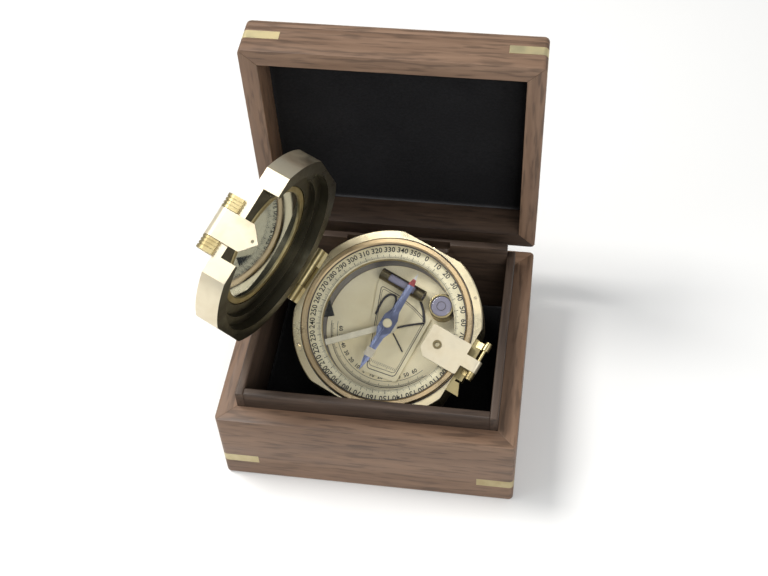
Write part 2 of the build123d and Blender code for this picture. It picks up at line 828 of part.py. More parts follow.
with BuildPart() as sight_arm:
    with BuildSketch(bench_at(0, arm_offset, bezel_top + free_gap)):
        with BuildLine():
            FilletPolyline(
                (arm_free_end + 3.0, -arm_width / 2),
                (arm_shoulder, -arm_width / 2),
                (arm_shoulder, arm_width / 2),
                (arm_free_end, arm_width / 2),
                (arm_free_end, -arm_width / 2 + 3.0),
                close=True,
                radius=1.0,
            )
        make_face()
        with Locations(((arm_shoulder + arm_hinge_x) / 2 - 0.5, 0)):
            Rectangle(arm_hinge_x - arm_shoulder + 1.0, arm_tongue)
        with Locations((arm_hole_x, 0)):
            Circle(arm_hole_r + 0.6, mode=Mode.SUBTRACT)
    extrude(amount=arm_thickness)
    with BuildSketch(bench_at(arm_hinge_x, arm_offset, arm_hinge_z, (90, 0, 0))):
        Circle(arm_knuckle_r)
    extrude(amount=arm_tongue_half, both=True)
    with BuildSketch(bench_at(arm_hinge_x, arm_offset, arm_hinge_z, (90, 0, 0))):
        Circle(arm_pin_r + fit_gap)
    extrude(amount=arm_tongue, both=True, mode=Mode.SUBTRACT)
save(sight_arm.part, "sight_arm")

with BuildPart() as sight_eyelet:
    with BuildSketch(bench_at(arm_hole_x, arm_offset, bezel_top + free_gap)):
        Circle(arm_hole_r + 0.6)
        Circle(arm_hole_r - 0.3, mode=Mode.SUBTRACT)
    extrude(amount=arm_thickness + 0.3)
save(sight_eyelet.part, "sight_eyelet")

# ---------------------------------------------------------------------------
# Cover hinge leaf and pin on the body
# ---------------------------------------------------------------------------
with BuildPart() as cover_hinge_leaf:
    with BuildSketch(bench_at(-side_flat, 0, -5.0, (0, -90, 0))):
        Rectangle(7.0, cover_hinge_length)
    extrude(amount=1.6)
    for side in (-1, 1):
        start = side * (cover_split + knuckle_gap)
        end = side * cover_hinge_length / 2
        with BuildSketch(bench_at(-cover_hinge_x, (start + end) / 2, cover_hinge_z, (90, 0, 0))):
            Circle(cover_knuckle_r)
            with BuildLine():
                Polyline(
                    (cover_hinge_x - side_flat, -4.0),
                    (cover_hinge_x - side_flat, -1.7),
                    (0.9, 0.0),
                    (-1.6, -0.9),
                    (1.6, -4.4),
                    close=True,
                )
            make_face()
        extrude(amount=abs(end - start) / 2, both=True)
    with BuildSketch(bench_at(-cover_hinge_x, 0, cover_hinge_z, (90, 0, 0))):
        Circle(0.9 + fit_gap)
    extrude(amount=cover_hinge_length, both=True, mode=Mode.SUBTRACT)
save(cover_hinge_leaf.part, "cover_hinge_leaf")

with BuildPart() as cover_hinge_pin:
    with BuildSketch(bench_at(-cover_hinge_x, 0, cover_hinge_z, (90, 0, 0))):
        Circle(0.9)
    extrude(amount=cover_hinge_length / 2 + 0.2, both=True)
save(cover_hinge_pin.part, "cover_hinge_pin")

# ---------------------------------------------------------------------------
# Cover, standing open
# ---------------------------------------------------------------------------
cover_up = Axis(cover_seat.origin, cover_seat.z_dir)
with BuildPart() as cover_shell:
    with BuildSketch(shell_at(cover_centre, 0, cover_front)):
        Circle(cover_r)
        with Locations(((cover_far_flat - cover_hinge_flat) / 2, 0)):
            Rectangle(cover_hinge_flat + cover_far_flat, 2 * cover_side_flat, mode=Mode.INTERSECT)
    extrude(amount=cover_depth)
    for radius, depth in cover_steps:
        with BuildSketch(shell_at(cover_centre, 0, cover_front)):
            Circle(radius)
            with Locations((cover_far_flat - cover_wall - cover_r, 0)):
                Rectangle(2 * cover_r, 2 * cover_r, mode=Mode.INTERSECT)
        extrude(amount=depth, mode=Mode.SUBTRACT)
    with BuildSketch(shell_at(cover_centre + cover_far_flat, 0, cover_front)):
        Rectangle(24.0, notch_length)
    extrude(amount=notch_depth, mode=Mode.SUBTRACT)
save(cover_shell.part, "cover_shell")

knuckle_face = cover_centre - cover_hinge_flat
with BuildPart() as cover_knuckle:
    with BuildSketch(shell_at(knuckle_face, -cover_shift, 4.6, (0, -90, 0))):
        Rectangle(7.2, 2 * cover_split)
    extrude(amount=1.4)
    with BuildSketch(cover_at(0, 0, 0, (90, 0, 0))):
        Circle(cover_knuckle_r)
        with BuildLine():
            Polyline(
                (knuckle_face - 0.6, 5.6),
                (knuckle_face - 0.6, 1.2),
                (0.6, -0.6),
                (-0.9, 0.9),
                (1.8, 5.6),
                close=True,
            )
        make_face()
    extrude(amount=cover_split, both=True)
    with BuildSketch(cover_at(0, 0, 0, (90, 0, 0))):
        Circle(0.9 + fit_gap)
    extrude(amount=cover_hinge_length, both=True, mode=Mode.SUBTRACT)
save(cover_knuckle.part, "cover_knuckle")

mirror_back = cover_front + cover_steps[-1][1]
mirror_ring_r = cover_steps[-1][0] - 0.1
with BuildPart() as mirror:
    with BuildSketch(shell_at(cover_centre, 0, mirror_back)):
        Circle(mirror_r)
    extrude(amount=-mirror_thickness)
save(mirror.part, "mirror")

with BuildPart() as mirror_ring:
    with BuildSketch(shell_at(cover_centre, 0, mirror_back)):
        Circle(mirror_ring_r)
        Circle(mirror_r, mode=Mode.SUBTRACT)
    extrude(amount=-1.9)
    fillet(mirror_ring.edges().group_by(cover_up)[0], 0.5)
save(mirror_ring.part, "mirror_ring")

lug_start = front_leaf_width / 2 + 0.2
lug_length = 5.8
lug_grooves = (1.0, 2.4, 3.8)
with BuildPart() as front_sight_lugs:
    for side in (-1, 1):
        middle = front_leaf_y + side * (lug_start + lug_length / 2)
        with BuildSketch(shell_at(barrel_x, middle, barrel_z, (90, 0, 0))):
            Circle(barrel_r)
            with Locations((0, -(barrel_r + 0.3) / 2)):
                Rectangle(2 * barrel_r, barrel_r + 0.3)
            Circle(0.9 + fit_gap, mode=Mode.SUBTRACT)
        extrude(amount=lug_length / 2, both=True)
        for groove in lug_grooves:
            at = front_leaf_y + side * (lug_start + groove + 0.3)
            with BuildSketch(shell_at(barrel_x, at, barrel_z, (90, 0, 0))):
                Rectangle(3 * barrel_r, 3 * barrel_r)
                with Locations((0, -barrel_r / 2)):
                    Rectangle(2 * barrel_r - 0.7, barrel_r + 1.0, mode=Mode.SUBTRACT)
                Circle(barrel_r - 0.35, mode=Mode.SUBTRACT)
                with Locations((0, -barrel_r - 4.3)):
                    Rectangle(4 * barrel_r, 8.0, mode=Mode.SUBTRACT)
            extrude(amount=0.3, both=True, mode=Mode.SUBTRACT)
save(front_sight_lugs.part, "front_sight_lugs")

with BuildPart() as front_sight_pin:
    with BuildSketch(shell_at(barrel_x, front_leaf_y, barrel_z, (90, 0, 0))):
        Circle(0.9)
    extrude(amount=lug_start + lug_length + 0.2, both=True)
save(front_sight_pin.part, "front_sight_pin")

leaf_face_x = cover_centre + cover_far_flat + leaf_stand - front_leaf_thickness
nose_start = front_leaf_tip - 1.6
leaf_edge = front_leaf_width / 2
leaf_corner = leaf_edge - front_leaf_chamfer
with BuildPart() as front_sight_leaf:
    with BuildSketch(shell_at(leaf_face_x, front_leaf_y, barrel_z, (0, 90, 0))):
        with BuildLine():
            Polyline(
                (0, -leaf_edge),
                (front_leaf_shoulder - front_leaf_chamfer, -leaf_edge),
                (front_leaf_shoulder, -leaf_corner),
                (nose_start, -front_leaf_nose),
                (front_leaf_tip, 0),
                (nose_start, front_leaf_nose),
                (front_leaf_shoulder, leaf_corner),
                (front_leaf_shoulder - front_leaf_chamfer, leaf_edge),
                (0, leaf_edge),
                close=True,
            )
        make_face()
        with Locations((nose_start - 1.0, 0)):
            Circle(front_leaf_hole_r, mode=Mode.SUBTRACT)
    extrude(amount=front_leaf_thickness)
    with BuildSketch(shell_at(barrel_x, front_leaf_y, barrel_z, (90, 0, 0))):
        Circle(barrel_r)
    extrude(amount=leaf_edge, both=True)
    with BuildSketch(shell_at(barrel_x, front_leaf_y, barrel_z, (90, 0, 0))):
        Circle(0.9 + fit_gap)
    extrude(amount=front_leaf_width, both=True, mode=Mode.SUBTRACT)
save(front_sight_leaf.part, "front_sight_leaf")
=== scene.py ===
import json
import math

import bmesh
import bpy
from mathutils import Matrix, Vector


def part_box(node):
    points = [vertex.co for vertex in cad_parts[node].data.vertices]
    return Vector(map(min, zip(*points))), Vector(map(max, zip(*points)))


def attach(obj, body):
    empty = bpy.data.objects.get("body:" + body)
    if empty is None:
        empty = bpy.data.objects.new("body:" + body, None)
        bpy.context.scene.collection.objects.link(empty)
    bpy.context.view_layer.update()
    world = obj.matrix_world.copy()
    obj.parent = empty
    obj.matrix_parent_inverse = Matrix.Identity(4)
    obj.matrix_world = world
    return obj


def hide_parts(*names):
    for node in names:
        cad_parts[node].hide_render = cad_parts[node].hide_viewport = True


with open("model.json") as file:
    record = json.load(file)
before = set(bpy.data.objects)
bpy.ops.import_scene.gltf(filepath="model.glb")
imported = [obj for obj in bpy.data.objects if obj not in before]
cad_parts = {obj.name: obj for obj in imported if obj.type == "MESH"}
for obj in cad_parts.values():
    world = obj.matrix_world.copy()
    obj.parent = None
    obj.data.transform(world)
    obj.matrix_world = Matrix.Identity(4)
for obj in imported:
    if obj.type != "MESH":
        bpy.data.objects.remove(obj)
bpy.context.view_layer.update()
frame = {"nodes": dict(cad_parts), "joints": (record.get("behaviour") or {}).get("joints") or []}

MM = 0.001
NODES = frame["nodes"]
JOINTS = {joint["name"]: joint for joint in frame["joints"]}

# ---------------------------------------------------------------------------
# Seats: the compass and its cover each have axes of their own, read from the
# joints, so that pieces are placed in the instrument's own millimetres.
# ---------------------------------------------------------------------------
RING_TOP = -3.6
COVER_REACH = 41.2
COVER_HINGE_RISE = 0.4
COVER_OPEN = math.radians(89.0)
COVER_TWIST = math.radians(-3.0)
COVER_SHIFT = -1.6
COVER_CENTRE = 43.9
LID_OPEN = math.radians(88.6)


def seat(origin, x_dir, z_dir):
    """A matrix from an assembly's own millimetres to the row's metres."""
    z = Vector(z_dir).normalized()
    x = (Vector(x_dir) - z * Vector(x_dir).dot(z)).normalized()
    y = z.cross(x)
    turn = Matrix((x, y, z)).transposed().to_4x4()
    return Matrix.Translation(Vector(origin)) @ turn @ Matrix.Scale(MM, 4)


def make_bench():
    ring = JOINTS["azimuth_turn"]
    up = Vector(ring["axis"]).normalized()
    across = Vector(JOINTS["sight_arm_fold"]["axis"]).normalized()
    forward = across.cross(up)
    centre = Vector(ring["pos_m"]) - up * RING_TOP * MM
    return seat(centre, forward, up)


def make_cover_seat(bench):
    swing = Matrix.Rotation(-COVER_OPEN, 4, "Y")
    hinge = Matrix.Translation((-COVER_REACH, 0, COVER_HINGE_RISE))
    slip = Matrix.Translation((0, COVER_SHIFT, 0))
    return bench @ hinge @ swing @ slip @ Matrix.Rotation(COVER_TWIST, 4, "Z")


def make_lid_seat():
    hinge = Vector(JOINTS["case_lid_swing"]["pos_m"])
    return Matrix.Translation(hinge) @ Matrix.Rotation(-LID_OPEN, 4, "X") @ Matrix.Scale(MM, 4)


BENCH = make_bench()
COVER = make_cover_seat(BENCH)
LID = make_lid_seat()
ROW = Matrix.Scale(MM, 4)
COVER_AXIS = COVER @ Matrix.Translation((COVER_CENTRE, 0, 0))


# ---------------------------------------------------------------------------
# Camera, light and floor
# ---------------------------------------------------------------------------
CAMERA_PLACE = (0.06657, -0.32665, 0.46106)
CAMERA_HEADING = 0.1943
CAMERA_TILT = 0.7044
CAMERA_ROLL = -0.0655
CAMERA_LENS = 58.26
LIGHT_TARGET = (0, 0, 0.05)


def make_camera():
    data = bpy.data.cameras.new("camera")
    data.sensor_width = 36.0
    data.lens = CAMERA_LENS
    data.clip_start = 0.01
    camera = bpy.data.objects.new("camera", data)
    bpy.context.collection.objects.link(camera)
    turn = (
        Matrix.Rotation(CAMERA_HEADING, 4, "Z")
        @ Matrix.Rotation(CAMERA_TILT, 4, "X")
        @ Matrix.Rotation(CAMERA_ROLL, 4, "Z")
    )
    camera.matrix_world = Matrix.Translation(CAMERA_PLACE) @ turn
    bpy.context.scene.camera = camera


def area_light(name, place, width, height, power, colour=(1, 1, 1)):
    """A soft rectangular light that faces the case."""
    data = bpy.data.lights.new(name, "AREA")
    data.shape = "RECTANGLE"
    data.size = width
    data.size_y = height
    data.energy = power
    data.color = colour
    light = bpy.data.objects.new(name, data)
    bpy.context.collection.objects.link(light)
    aim = Vector(LIGHT_TARGET) - Vector(place)
    light.rotation_euler = aim.to_track_quat("-Z", "Y").to_euler()
    light.location = place


def make_lights():
    area_light("key", (-0.50, 0.10, 0.95), 0.36, 0.36, 8.5, (1.0, 0.98, 0.95))
    area_light("fill", (0.45, -0.80, 0.75), 0.7, 0.5, 6.0)
    area_light("side", (-0.85, -0.40, 0.45), 0.5, 0.5, 2.6)
    world = bpy.data.worlds.new("studio")
    bpy.context.scene.world = world
    world.use_nodes = True
    background = world.node_tree.nodes["Background"]
    background.inputs["Color"].default_value = (0.96, 0.98, 1.0, 1)
    background.inputs["Strength"].default_value = 0.42
    bpy.context.scene.view_settings.view_transform = "Standard"


def make_floor():
    bpy.ops.mesh.primitive_plane_add(size=6, location=(0, 0, 0))
    floor = bpy.context.object
    floor.name = "floor"
    material = bpy.data.materials.new("floor_paper")
    material.use_nodes = True
    shader = material.node_tree.nodes["Principled BSDF"]
    shader.inputs["Base Color"].default_value = (0.88, 0.88, 0.87, 1)
    shader.inputs["Roughness"].default_value = 0.9
    floor.data.materials.append(material)


# ---------------------------------------------------------------------------
# Materials
# ---------------------------------------------------------------------------
class Look:
    """A material under construction: its nodes, and a few ways to join them."""

    def __init__(self, name):
        self.material = bpy.data.materials.new(name)
        self.material.use_nodes = True
        self.tree = self.material.node_tree
        self.shader = self.tree.nodes["Principled BSDF"]
        self.coords = self.add("ShaderNodeTexCoord").outputs["Object"]

    def add(self, kind, **values):
        node = self.tree.nodes.new(kind)
        for key, value in values.items():
            setattr(node, key, value)
        return node

    def link(self, source, target):
        self.tree.links.new(source, target)

    def set(self, **values):
        for key, value in values.items():
            self.shader.inputs[key.replace("_", " ")].default_value = value

    def mapped(self, scale, location=(0, 0, 0)):
        node = self.add("ShaderNodeMapping")
        node.inputs["Scale"].default_value = scale
        node.inputs["Location"].default_value = location
        self.link(self.coords, node.inputs["Vector"])
        return node.outputs["Vector"]

    def noise(self, vector, scale, detail=4.0, rough=0.55, distortion=0.0):
        node = self.add("ShaderNodeTexNoise")
        node.inputs["Scale"].default_value = scale
        node.inputs["Detail"].default_value = detail
        node.inputs["Roughness"].default_value = rough
        node.inputs["Distortion"].default_value = distortion
        self.link(vector, node.inputs["Vector"])
        return node.outputs["Fac"]

    def ramp(self, factor, stops):
        node = self.add("ShaderNodeValToRGB")
        elements = node.color_ramp.elements
        while len(elements) < len(stops):
            elements.new(0.5)
        for element, (place, colour) in zip(elements, stops):
            element.position = place
            element.color = (*colour, 1)
        self.link(factor, node.inputs["Fac"])
        return node.outputs["Color"]

    def grey(self, factor, low, high, start=0.0, end=1.0):
        node = self.add("ShaderNodeMapRange")
        node.inputs["From Min"].default_value = start
        node.inputs["From Max"].default_value = end
        node.inputs["To Min"].default_value = low
        node.inputs["To Max"].default_value = high
        self.link(factor, node.inputs["Value"])
        return node.outputs["Result"]

    def mix(self, factor, first, second, blend="MIX"):
        node = self.add("ShaderNodeMix", data_type="RGBA", blend_type=blend)
        for place, value in ((0, factor), (6, first), (7, second)):
            socket = node.inputs[place]
            if isinstance(value, (int, float)):
                socket.default_value = value
            elif isinstance(value, tuple):
                socket.default_value = (*value, 1)
            else:
                self.link(value, socket)
        return node.outputs[2]

    def math(self, kind, first, second=0.0):
        node = self.add("ShaderNodeMath", operation=kind)
        for socket, value in ((node.inputs[0], first), (node.inputs[1], second)):
            if isinstance(value, (int, float)):
                socket.default_value = value
            else:
                self.link(value, socket)
        return node.outputs[0]

    def bump(self, height, strength, distance):
        node = self.add("ShaderNodeBump")
        node.inputs["Strength"].default_value = strength
        node.inputs["Distance"].default_value = distance
        self.link(height, node.inputs["Height"])
        self.link(node.outputs["Normal"], self.shader.inputs["Normal"])

    def turned(self, matrix):
        """Distance from an assembly's axis, in millimetres."""
        centre = matrix.translation
        axis = matrix.col[2].xyz.normalized()
        offset = self.add("ShaderNodeVectorMath", operation="SUBTRACT")
        self.link(self.coords, offset.inputs[0])
        offset.inputs[1].default_value = centre
        along = self.add("ShaderNodeVectorMath", operation="DOT_PRODUCT")
        self.link(offset.outputs[0], along.inputs[0])
        along.inputs[1].default_value = axis
        length = self.add("ShaderNodeVectorMath", operation="LENGTH")
        self.link(offset.outputs[0], length.inputs[0])
        square = self.math("MULTIPLY", length.outputs["Value"], length.outputs["Value"])
        height = self.math("MULTIPLY", along.outputs["Value"], along.outputs["Value"])
        return self.math("MULTIPLY", self.math("SQRT", self.math("SUBTRACT", square, height)), 1 / MM)

    def grooves(self, matrix, pitch):
        """Fine turning marks round an axis, from 0 to 1."""
        phase = self.math("MULTIPLY", self.turned(matrix), math.tau / pitch)
        return self.math("MULTIPLY_ADD", self.math("SINE", phase), 0.5)

    def colour(self, socket):
        self.link(socket, self.shader.inputs["Base Color"])

    def roughness(self, socket):
        self.link(socket, self.shader.inputs["Roughness"])


LIGHT_WOOD = (
    (0.22, (0.070, 0.038, 0.024)),
    (0.42, (0.150, 0.088, 0.054)),
    (0.58, (0.215, 0.132, 0.084)),
    (0.80, (0.330, 0.215, 0.140)),
)
# Painted shade: the same rosewood as LIGHT_WOOD made much darker, for the liner boards and the lid's
# back board, where shade falls in the case.
SHADED_WOOD = (
    (0.25, (0.020, 0.013, 0.010)),
    (0.50, (0.055, 0.035, 0.024)),
    (0.75, (0.125, 0.080, 0.054)),
)


def wood(name, grain, seed, stops=LIGHT_WOOD):
    """Oiled rosewood with its grain along one axis of the row: "X", "Y" or "Z"."""
    look = Look(name)
    place = (seed * 1.7, seed * 3.1, seed * 0.9)

    def drawn_out(along, across):
        """Texture places drawn out along the grain."""
        scale = [across, across, across]
        scale["XYZ".index(grain)] = along
        return look.mapped(tuple(scale), place)

    bands = look.noise(drawn_out(4.2, 37.4), 1.0, 3.0, 0.5, 0.6)
    fibre = look.noise(drawn_out(7.0, 110.0), 3.2, 6.0, 0.62, 0.25)
    pores = look.noise(drawn_out(63.0, 605.0), 1.0, 2.0, 0.5)
    tone = look.math("ADD", look.math("MULTIPLY", bands, 0.55), look.math("MULTIPLY", fibre, 0.45))
    streak = look.grey(pores, 0.62, 1.0, 0.36, 0.50)
    look.colour(look.mix(1.0, look.ramp(tone, stops), streak, "MULTIPLY"))
    look.roughness(look.grey(fibre, 0.42, 0.60, 0.3, 0.7))
    height = look.math("ADD", look.math("MULTIPLY", fibre, 0.5), look.math("MULTIPLY", streak, 0.7))
    look.bump(height, 0.35, 0.00018)
    look.set(Specular_IOR_Level=0.42)
    return look.material


def brass(name, base, rough, worn=0.5, lathe=None, metallic=1.0):
    """Brass with a brushed or turned bump, tarnish in patches and fine scratches."""
    look = Look(name)
    patches = look.noise(look.coords, 90.0, 5.0, 0.6, 0.3)
    fine = look.noise(look.mapped((400, 2600, 900)), 1.0, 3.0, 0.6)
    if lathe:
        fine = look.math("ADD", look.math("MULTIPLY", fine, 0.5), look.grooves(lathe, 0.55))
    darker = tuple(c * s for c, s in zip(base, (0.60, 0.50, 0.34)))
    amount = look.grey(patches, 0.0, worn, 0.42, 0.72)
    look.colour(look.mix(amount, base, darker))
    spread = look.grey(patches, rough * 0.8, rough * 1.5, 0.35, 0.7)
    look.roughness(look.math("ADD", spread, look.math("MULTIPLY", fine, 0.05)))
    look.bump(fine, 0.10 if lathe else 0.06, 0.00003)
    look.set(Metallic=metallic)
    return look.material


def velvet(name):
    look = Look(name)
    nap = look.noise(look.mapped((900, 900, 900)), 1.0, 4.0, 0.7)
    wide = look.noise(look.coords, 38.0, 3.0, 0.5)
    tone = look.math("ADD", look.math("MULTIPLY", nap, 0.6), look.math("MULTIPLY", wide, 0.4))
    look.colour(look.ramp(tone, [(0.3, (0.003, 0.003, 0.0035)), (0.7, (0.011, 0.011, 0.012))]))
    look.bump(nap, 0.6, 0.0003)
    look.set(Roughness=0.95, Specular_IOR_Level=0.15, Sheen_Weight=0.25, Sheen_Roughness=0.4)
    look.set(Sheen_Tint=(0.35, 0.35, 0.37, 1))
    return look.material


def glass(name, tint, alpha, rough=0.02):
    look = Look(name)
    look.set(Base_Color=(*tint, 1), Alpha=alpha, Roughness=rough, Specular_IOR_Level=1.0)
    return look.material


def mirror_look(name):
    look = Look(name)
    haze = look.noise(look.coords, 70.0, 4.0, 0.6)
    look.colour(look.ramp(haze, [(0.3, (0.50, 0.53, 0.54)), (0.7, (0.66, 0.69, 0.70))]))
    look.roughness(look.grey(haze, 0.03, 0.12, 0.4, 0.75))
    look.set(Metallic=1.0)
    return look.material


def enamel(name, base, rough=0.45):
    look = Look(name)
    mottle = look.noise(look.coords, 260.0, 4.0, 0.6)
    darker = tuple(c * 0.82 for c in base)
    look.colour(look.mix(look.grey(mottle, 0.0, 1.0, 0.4, 0.7), base, darker))
    look.roughness(look.grey(mottle, rough, rough + 0.12, 0.3, 0.7))
    look.bump(mottle, 0.05, 0.00004)
    return look.material


def steel(name, base, rough):
    look = Look(name)
    mottle = look.noise(look.mapped((300, 300, 300)), 1.0, 4.0, 0.6)
    look.colour(look.mix(mottle, base, tuple(min(1, c * 1.5) for c in base)))
    look.roughness(look.grey(mottle, rough, rough + 0.15, 0.3, 0.7))
    look.set(Metallic=1.0)
    return look.material


def ink(name, base=(0.02, 0.02, 0.018)):
    look = Look(name)
    wear = look.noise(look.coords, 700.0, 3.0, 0.6)
    look.colour(look.mix(look.grey(wear, 0.0, 0.5, 0.45, 0.7), base, tuple(c * 3 + 0.03 for c in base)))
    look.set(Roughness=0.6)
    return look.material


PALE_BRASS = (0.87, 0.77, 0.56)
MATERIALS = {
    "wood_x": wood("rosewood_x", "X", 1.0),
    "wood_x2": wood("rosewood_x2", "X", 5.0),
    "wood_x3": wood("rosewood_x3", "X", 8.0),
    "wood_y": wood("rosewood_y", "Y", 2.0),
    "wood_z": wood("rosewood_z", "Z", 3.0),
    # Darkened copies of the rosewood: painted shade, not a darker wood.
    "shaded_wood_x": wood("rosewood_x_painted_shade", "X", 4.0, SHADED_WOOD),
    "shaded_wood_y": wood("rosewood_y_painted_shade", "Y", 6.0, SHADED_WOOD),
    "polished": brass("polished_brass", PALE_BRASS, 0.20, 0.35),
    "plate": brass("sight_plate_brass", (0.62, 0.56, 0.42), 0.38, 0.3, None, 0.6),
    "flange": brass("flange_brass", (0.86, 0.76, 0.52), 0.26, 0.35, BENCH),
    "bezel": brass("bezel_brass", (0.62, 0.48, 0.29), 0.28, 0.4, BENCH),
    "cover": brass("cover_brass", (0.68, 0.61, 0.46), 0.32, 0.16),
    "cover_dark": brass("cover_inside", (0.075, 0.068, 0.046), 0.30, 0.4, COVER_AXIS, 0.9),
    "strip": brass("strip_brass", (0.80, 0.70, 0.42), 0.42, 0.3),
    "strip_dull": brass("strip_dull_brass", (0.50, 0.43, 0.26), 0.44, 0.3),
    "hinge": brass("hinge_brass", (0.38, 0.32, 0.17), 0.36, 0.6),
    "dial": brass("dial_brass", (0.97, 0.88, 0.60), 0.44, 0.25, None, 0.12),
    "level": brass("level_brass", (0.20, 0.17, 0.10), 0.30, 0.5),
    "velvet": velvet("black_velvet"),
    "crystal": glass("crystal_glass", (0.03, 0.03, 0.04), 0.06),
    "vial": glass("vial_glass", (0.36, 0.35, 0.46), 0.80, 0.06),
    "mirror": mirror_look("mirror_silver"),
    "enamel": enamel("ivory_enamel", (0.93, 0.86, 0.60)),
    "needle": steel("blued_steel", (0.15, 0.17, 0.26), 0.30),
    "jewel": enamel("jewel_red", (0.35, 0.03, 0.06), 0.15),
    # Bluish grey for the sheet on the well's wall: painted shade and painted reflection of the glass.
    "well_shade": steel("well_wall_painted_shade", (0.20, 0.20, 0.24), 0.45),
    "cream": enamel("cream_lacquer", (0.90, 0.84, 0.64)),
    # Near black: the springs' own dark wire and the engraved lines, and painted shade in the bezel's
    # shadow lines.
    "dark_line_and_shade": ink("dark_line_and_painted_shade", (0.035, 0.032, 0.035)),
    "wire": brass("balance_wire", (0.80, 0.74, 0.60), 0.35, 0.2),
    "ink": ink("engraving_ink"),
    "red": ink("needle_red", (0.30, 0.05, 0.05)),
    "white": enamel("needle_white", (0.80, 0.80, 0.78)),
    # Black for the stop under the ring: its colour also paints the shadow in the gap between the well's
    # inner steps.
    "black_stop_and_shadow": ink("black_stop_painted_shadow", (0.010, 0.012, 0.010)),
}

NODE_LOOKS = {
    "base_front_board": "wood_x",
    "base_back_board": "wood_x2",
    "base_left_board": "wood_y",
    "base_right_board": "wood_y",
    "base_bottom_board": "wood_x3",
    "lid_front_board": "wood_x3",
    # The lid's back board takes the darkened rosewood: painted shade.
    "lid_back_board": "shaded_wood_x",
    "lid_left_board": "wood_z",
    "lid_right_board": "wood_z",
    "lid_top_board": "wood_x2",
    # The liner takes the darkened rosewood: painted shade on the same wood as the case.
    "liner_front_board": "shaded_wood_x",
    "liner_back_board": "shaded_wood_x",
    "liner_left_board": "shaded_wood_y",
    "liner_right_board": "shaded_wood_y",
    "floor_pad": "velvet",
    "lid_lining": "velvet",
    "base_corner_strips": "strip_dull",
    "lid_corner_strips": "strip",
    "base_hinge_leaves": "hinge",
    "base_hinge_screws": "hinge",
    "case_hinge_pins": "hinge",
    "lid_hinge_leaves": "hinge",
    "lid_hinge_screws": "hinge",
    "bezel_ring": "bezel",
    "crystal": "crystal",
    "dial_plate": "dial",
    "clinometer_plate": "dial",
    "clinometer_shaft": "dial",
    "needle_lifter": "cream",
    "crystal_retainer": "dial",
    "needle_cap": "dial",
    "azimuth_ring": "enamel",
    "round_level_housing": "hinge",
    "long_level_holder": "level",
    "round_level_vial": "vial",
    "long_level_vial": "vial",
    "needle_blade": "needle",
    "needle_jewel": "jewel",
    "needle_balance_wire": "wire",
    "mirror": "mirror",
    "cover_shell": "cover",
    "compass_body": "flange",
    "mirror_ring": "hinge",
    "cover_knuckle": "hinge",
    "cover_hinge_leaf": "hinge",
    "sight_hinge_leaf": "hinge",
    "sight_hinge_pin": "hinge",
    "sight_arm": "plate",
    "sight_eyelet": "level",
    "front_sight_leaf": "plate",
    "front_sight_lugs": "hinge",
}


def dress(thing, look):
    thing.data.materials.clear()
    thing.data.materials.append(MATERIALS[look])


# ---------------------------------------------------------------------------
# Mesh helpers
# ---------------------------------------------------------------------------
def add_mesh(name, mesh, body, look, smooth=True):
    """A finished mesh as a piece that rides on a body."""
    piece = bpy.data.objects.new(name, mesh)
    bpy.context.collection.objects.link(piece)
    mesh.materials.append(MATERIALS[look])
    if smooth:
        mesh.shade_smooth()
    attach(piece, body)
    return piece


def add_work(name, work, body, look, smooth=True):
    """The same, from a bmesh, which is used up."""
    mesh = bpy.data.meshes.new(name)
    work.to_mesh(mesh)
    work.free()
    return add_mesh(name, mesh, body, look, smooth)


def evaluated_mesh(thing):
    """A new mesh of an object as it is drawn, with its modifiers or bevel."""
    bpy.context.view_layer.update()
    graph = bpy.context.evaluated_depsgraph_get()
    return bpy.data.meshes.new_from_object(thing.evaluated_get(graph))


WELD = 0.000002
FLAT_WITHIN = math.radians(0.6)
EASE_ABOVE = math.radians(32)
SHARP_ABOVE = math.radians(28)
EASE_WIDTH = 0.28


def eased(node, body, look):
    """A copy of a CAD node with its sharp edges eased, which stands for it."""
    mesh = NODES[node].data.copy()
    work = bmesh.new()
    work.from_mesh(mesh)
    bmesh.ops.remove_doubles(work, verts=work.verts, dist=WELD)
    bmesh.ops.dissolve_limit(work, angle_limit=FLAT_WITHIN, verts=work.verts, edges=work.edges)
    work.to_mesh(mesh)
    work.free()
    mesh.materials.clear()
    piece = bpy.data.objects.new(node + "_eased", mesh)
    bpy.context.collection.objects.link(piece)
    bevel = piece.modifiers.new("ease", "BEVEL")
    bevel.width = EASE_WIDTH * MM
    bevel.segments = 2
    bevel.limit_method = "ANGLE"
    bevel.angle_limit = EASE_ABOVE
    finished = evaluated_mesh(piece)
    piece.modifiers.clear()
    piece.data = finished
    piece.data.materials.append(MATERIALS[look])
    piece.data.shade_smooth()
    piece.data.set_sharp_from_angle(angle=SHARP_ABOVE)
    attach(piece, body)
    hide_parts(node)
    return piece


def flat_marks(name, quads, matrix, height, body, look):
    """Thin raised marks: each is a list of corners on one plane of a seat."""
    work = bmesh.new()
    for corners in quads:
        verts = [work.verts.new(matrix @ Vector((x, y, height))) for x, y in corners]
        work.faces.new(verts)
    return add_work(name, work, body, look, smooth=False)


def radial_mark(angle, inner, outer, width):
    """A mark's four corners, pointing at the centre."""
    along = (math.cos(angle), math.sin(angle))
    side = (-along[1] * width / 2, along[0] * width / 2)
    return [
        (along[0] * inner + side[0], along[1] * inner + side[1]),
        (along[0] * inner - side[0], along[1] * inner - side[1]),
        (along[0] * outer - side[0], along[1] * outer - side[1]),
        (along[0] * outer + side[0], along[1] * outer + side[1]),
    ]


def arc_band(start, end, radius, width, steps, centre=(0, 0)):
    """An arc line as a run of quads."""

    def spot(step, reach):
        angle = start + (end - start) * step / steps
        return (centre[0] + math.cos(angle) * reach, centre[1] + math.sin(angle) * reach)

    inner, outer = radius - width / 2, radius + width / 2
    return [
        [spot(step, inner), spot(step, outer), spot(step + 1, outer), spot(step + 1, inner)]
        for step in range(steps)
    ]


NUMERAL_WEIGHT = 0.055


